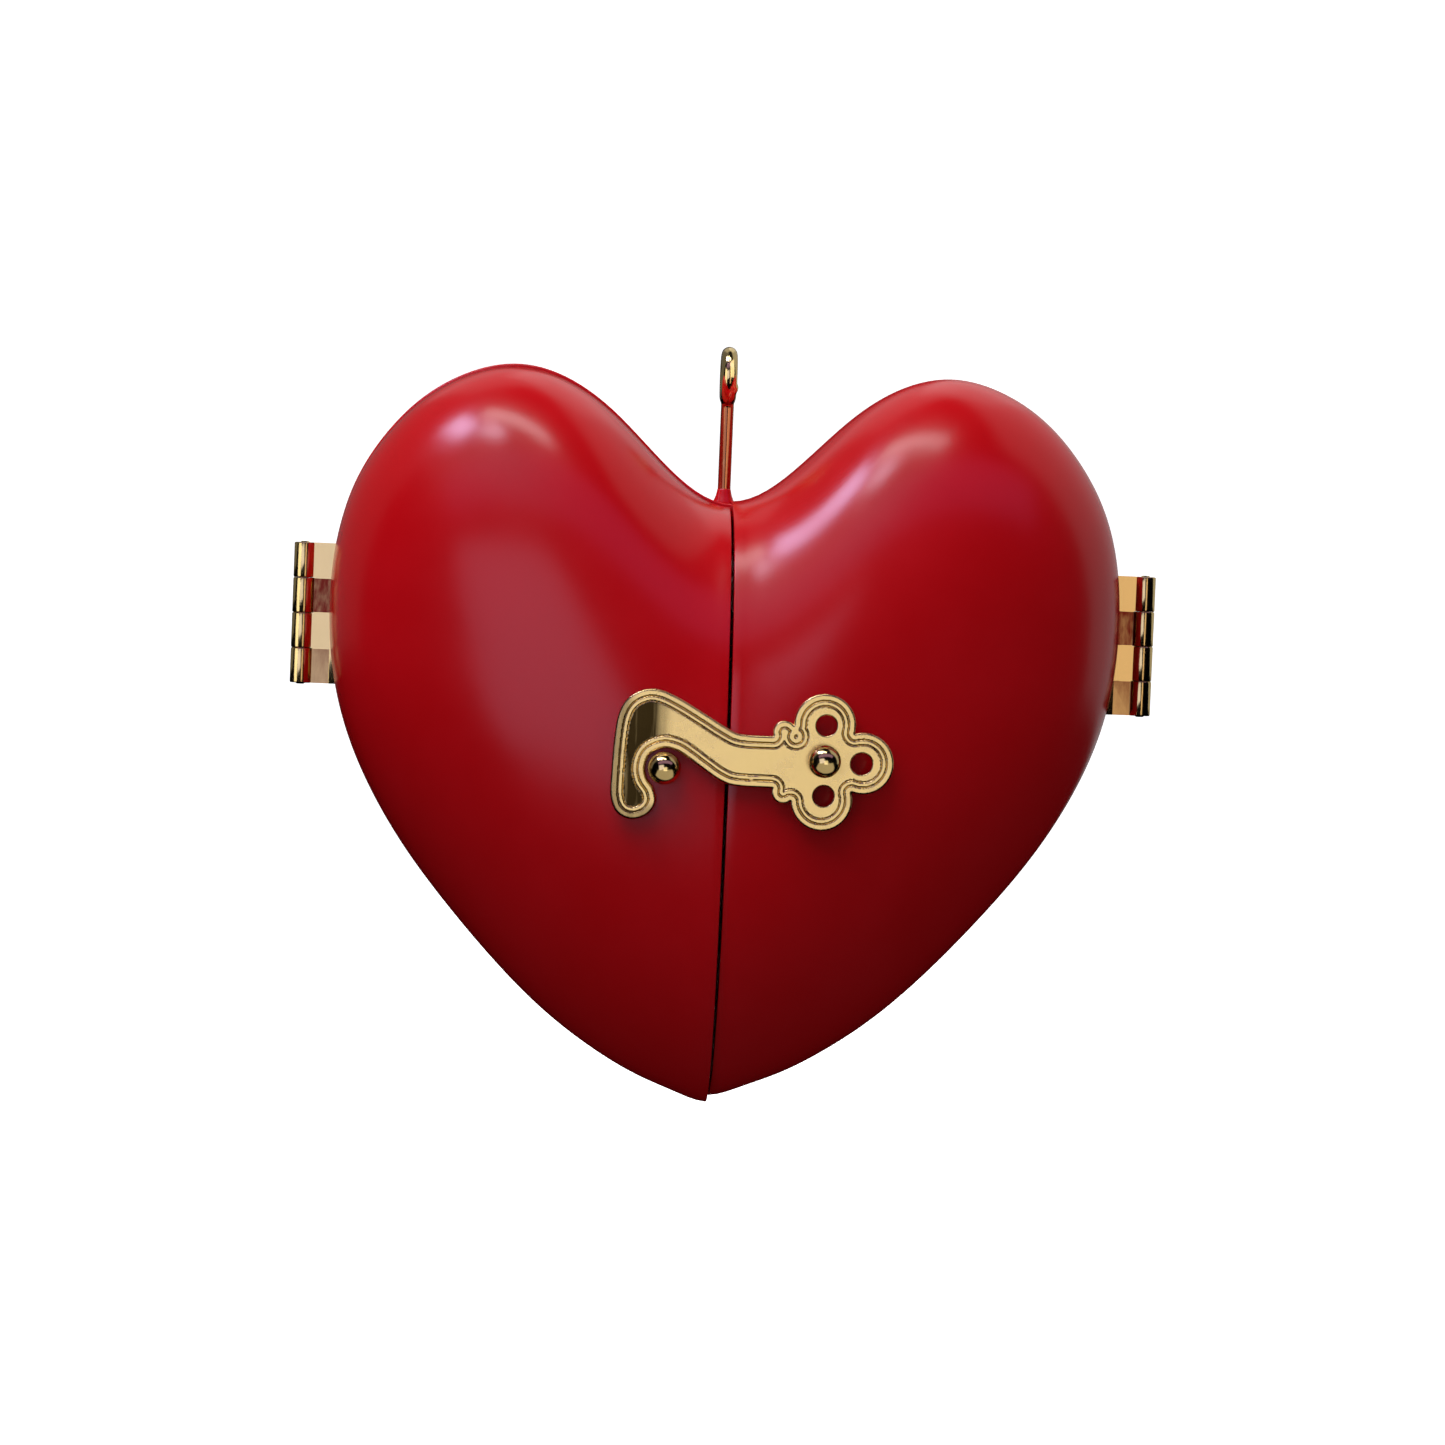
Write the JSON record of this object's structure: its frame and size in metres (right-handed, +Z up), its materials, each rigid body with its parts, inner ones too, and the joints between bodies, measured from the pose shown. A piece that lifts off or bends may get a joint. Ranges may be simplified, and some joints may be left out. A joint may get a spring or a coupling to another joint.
{
  "type": "wind up music box",
  "caption": "Heart-shaped wind up music box with two hinged front doors, a brass hook latch, a hanger eye and a spring-driven movement inside.",
  "frame": {"origin": "middle of the ring of the hanger eye", "axes": "+Z up, front faces -Y, +X to the right of a viewer in front"},
  "size_m": [0.111, 0.0672, 0.0973],
  "materials": {
    "red_lacquer": "satin deep red lacquer with a faint grain",
    "polished_brass": "polished",
    "latch_brass": "stamped and lightly brushed, polished edges",
    "movement_brass": "brushed",
    "steel_shaft": "ground",
    "spring_steel": "blued",
    "comb_steel": "ground and hardened",
    "nickel_plate": "nickel plated",
    "zinc_cast": "cast, grey",
    "ivory_paint": "satin ivory paint",
    "disc_lacquer": "glossy ivory",
    "rose_resin": "cast resin, satin red",
    "fly_aluminium": "thin sheet"
  },
  "bodies": {
    "case": {"back_shell": "red_lacquer", "left_hinge_back_leaf": "polished_brass", "right_hinge_back_leaf": "polished_brass", "left_hinge_pin": "polished_brass", "right_hinge_pin": "polished_brass", "back_hinge_rivets": "polished_brass", "hanger_eye": "polished_brass", "hanger_nut": "movement_brass", "inner_panel": "ivory_paint", "panel_screws": "polished_brass", "trim_ring": "polished_brass", "bedplate": "nickel_plate", "movement_screws": "nickel_plate", "key_escutcheon": "polished_brass", "clutch_spring": "spring_steel", "comb": "comb_steel", "comb_seat": "zinc_cast", "comb_screws": "nickel_plate", "cylinder_bearing": "nickel_plate", "governor_frame": "nickel_plate"},
    "left_door_body": {"left_door": "red_lacquer", "left_hinge_door_leaf": "polished_brass", "left_door_rivets": "polished_brass", "latch_catch_pin": "polished_brass"},
    "right_door_body": {"right_door": "red_lacquer", "right_hinge_door_leaf": "polished_brass", "right_door_rivets": "polished_brass", "latch_pivot_pin": "polished_brass"},
    "latch": {"latch_hook": "latch_brass"},
    "winding": {"winding_arbor": "steel_shaft", "winding_key": "polished_brass"},
    "barrel": {"spring_barrel": "movement_brass", "barrel_cover": "movement_brass", "mainspring": "spring_steel", "turntable_disc": "disc_lacquer", "rose": "rose_resin"},
    "cylinder": {"music_cylinder": "movement_brass", "cylinder_arbor": "steel_shaft", "music_pins": "steel_shaft", "cylinder_pinion": "steel_shaft", "cylinder_gear": "movement_brass"},
    "train": {"train_pinion": "steel_shaft", "worm_wheel": "movement_brass"},
    "fly": {"governor_worm": "steel_shaft", "air_brake": "fly_aluminium"}
  },
  "joints": [
    {"name": "left_door_hinge", "type": "hinge", "parent": "case", "child": "left_door_body", "pos_m": [-0.0535, -0.0032, -0.0327], "axis": [0, 0, -1], "range_deg": [0, 160]},
    {"name": "right_door_hinge", "type": "hinge", "parent": "case", "child": "right_door_body", "pos_m": [0.0549, -0.0032, -0.0327], "axis": [0, 0, 1], "range_deg": [0, 160]},
    {"name": "latch_pivot", "type": "hinge", "parent": "right_door_body", "child": "latch", "pos_m": [0.0123, -0.0286, -0.048], "axis": [0, 1, 0], "range_deg": [0, 100]},
    {"name": "key_turn", "type": "hinge", "parent": "case", "child": "winding", "pos_m": [0.0007, 0.0168, -0.0387], "axis": [0, 1, 0], "continuous": true},
    {"name": "barrel_spin", "type": "hinge", "parent": "case", "child": "barrel", "pos_m": [0.0007, 0.0048, -0.0387], "axis": [0, 1, 0], "continuous": true},
    {"name": "cylinder_spin", "type": "hinge", "parent": "case", "child": "cylinder", "pos_m": [0.0007, 0.0054, -0.0592], "axis": [0, 0, 1], "continuous": true},
    {"name": "train_spin", "type": "hinge", "parent": "case", "child": "train", "pos_m": [-0.00536, 0.0054, -0.0716], "axis": [0, 0, 1], "continuous": true},
    {"name": "fly_spin", "type": "hinge", "parent": "case", "child": "fly", "pos_m": [-0.01062, 0.0054, -0.0716], "axis": [0, 1, 0], "continuous": true}
  ],
  "couplings": [
    {"joint": "cylinder_spin", "follows": "barrel_spin", "ratio": 2.5},
    {"joint": "train_spin", "follows": "barrel_spin", "ratio": -10},
    {"joint": "fly_spin", "follows": "barrel_spin", "ratio": -200}
  ]
}
